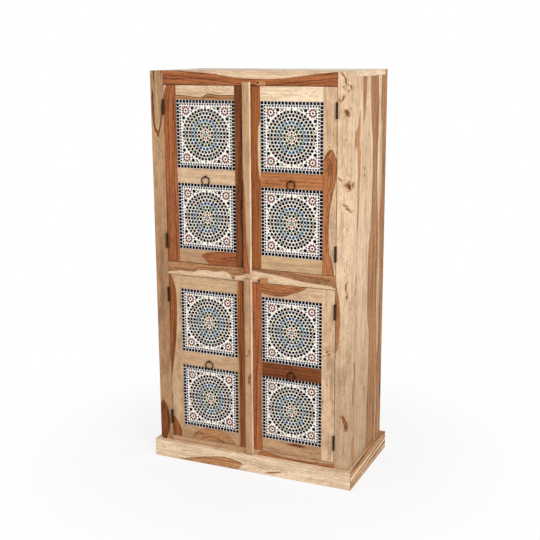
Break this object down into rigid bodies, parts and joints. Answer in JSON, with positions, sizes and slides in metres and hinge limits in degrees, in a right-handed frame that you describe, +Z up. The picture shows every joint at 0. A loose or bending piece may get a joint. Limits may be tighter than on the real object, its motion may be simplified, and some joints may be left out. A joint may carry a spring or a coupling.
{
  "type": "highboard",
  "caption": "Tall narrow wooden cabinet on a low plinth, with paired inset doors that hold glazed mosaic tiles, iron hinges and ring pulls, closing strips and wooden turn-buttons.",
  "frame": {"origin": "on the floor, in the middle of the plinth's outline", "axes": "+Z up, -Y towards the front with the doors, +X to the right of someone facing the doors"},
  "size_m": [0.66, 0.346, 1.21],
  "materials": {
    "sheesham": "satin lacquered sheesham",
    "panel_board": "satin board",
    "glazed_tile": "gloss glaze with a small mosaic pattern",
    "iron": "dark oiled iron"
  },
  "bodies": {
    "carcass": {"left_front_post": "sheesham", "right_front_post": "sheesham", "top_rail": "sheesham", "middle_rail": "sheesham", "bottom_rail": "sheesham", "back_posts": "sheesham", "back_rails": "sheesham", "left_side_panel": "sheesham", "right_side_panel": "sheesham", "top_board": "sheesham", "bottom_board": "sheesham", "dividing_shelf": "sheesham", "upper_shelf": "sheesham", "lower_shelf": "sheesham", "shelf_cleats": "sheesham", "door_stops": "sheesham", "front_plinth": "sheesham", "back_plinth": "sheesham", "side_plinths": "sheesham", "back_panel": "panel_board", "hinge_frame_leaves": "iron", "hinge_pins": "iron", "hinge_screws": "iron", "button_screws": "iron"},
    "lower_left_door": {"lower_left_tiles": "glazed_tile", "lower_left_tile_backs": "panel_board", "lower_left_outer_stile": "sheesham", "lower_left_meeting_stile": "sheesham", "lower_left_hinge_leaves": "iron", "lower_left_door_rails": "sheesham", "lower_left_ring_eye": "iron"},
    "lower_left_ring": {"lower_left_ring": "iron"},
    "lower_right_door": {"lower_right_tiles": "glazed_tile", "lower_right_tile_backs": "panel_board", "lower_right_outer_stile": "sheesham", "lower_right_meeting_stile": "sheesham", "lower_right_hinge_leaves": "iron", "lower_right_door_rails": "sheesham", "lower_right_ring_eye": "iron", "lower_strip": "sheesham"},
    "lower_right_ring": {"lower_right_ring": "iron"},
    "upper_left_door": {"upper_left_tiles": "glazed_tile", "upper_left_tile_backs": "panel_board", "upper_left_outer_stile": "sheesham", "upper_left_meeting_stile": "sheesham", "upper_left_hinge_leaves": "iron", "upper_left_door_rails": "sheesham", "upper_left_ring_eye": "iron"},
    "upper_left_ring": {"upper_left_ring": "iron"},
    "upper_right_door": {"upper_right_tiles": "glazed_tile", "upper_right_tile_backs": "panel_board", "upper_right_outer_stile": "sheesham", "upper_right_meeting_stile": "sheesham", "upper_right_hinge_leaves": "iron", "upper_right_door_rails": "sheesham", "upper_right_ring_eye": "iron", "upper_strip": "sheesham"},
    "upper_right_ring": {"upper_right_ring": "iron"},
    "lower_turn_button": {"lower_turn_button": "sheesham"},
    "upper_turn_button": {"upper_turn_button": "sheesham"}
  },
  "joints": [
    {"name": "lower_left_door_hinge", "type": "hinge", "parent": "carcass", "child": "lower_left_door", "pos_m": [-0.27125, -0.1623, 0.3365], "axis": [0, 0, -1], "range_deg": [0, 165]},
    {"name": "lower_left_ring_swing", "type": "hinge", "parent": "lower_left_door", "child": "lower_left_ring", "pos_m": [-0.1355, -0.16275, 0.3365], "axis": [-1, 0, 0], "range_deg": [0, 160]},
    {"name": "lower_right_door_hinge", "type": "hinge", "parent": "carcass", "child": "lower_right_door", "pos_m": [0.27125, -0.1623, 0.3365], "axis": [0, 0, 1], "range_deg": [0, 165]},
    {"name": "lower_right_ring_swing", "type": "hinge", "parent": "lower_right_door", "child": "lower_right_ring", "pos_m": [0.1355, -0.16275, 0.3365], "axis": [-1, 0, 0], "range_deg": [0, 160]},
    {"name": "upper_left_door_hinge", "type": "hinge", "parent": "carcass", "child": "upper_left_door", "pos_m": [-0.27125, -0.1623, 0.9055], "axis": [0, 0, -1], "range_deg": [0, 165]},
    {"name": "upper_left_ring_swing", "type": "hinge", "parent": "upper_left_door", "child": "upper_left_ring", "pos_m": [-0.1355, -0.16275, 0.9055], "axis": [-1, 0, 0], "range_deg": [0, 160]},
    {"name": "upper_right_door_hinge", "type": "hinge", "parent": "carcass", "child": "upper_right_door", "pos_m": [0.27125, -0.1623, 0.9055], "axis": [0, 0, 1], "range_deg": [0, 165]},
    {"name": "upper_right_ring_swing", "type": "hinge", "parent": "upper_right_door", "child": "upper_right_ring", "pos_m": [0.1355, -0.16275, 0.9055], "axis": [-1, 0, 0], "range_deg": [0, 160]},
    {"name": "lower_button_turn", "type": "hinge", "parent": "carcass", "child": "lower_turn_button", "pos_m": [0.0365, -0.1625, 0.6085], "axis": [0, 1, 0], "range_deg": [0, 95]},
    {"name": "upper_button_turn", "type": "hinge", "parent": "carcass", "child": "upper_turn_button", "pos_m": [0.0365, -0.1625, 1.1775], "axis": [0, 1, 0], "range_deg": [0, 95]}
  ]
}
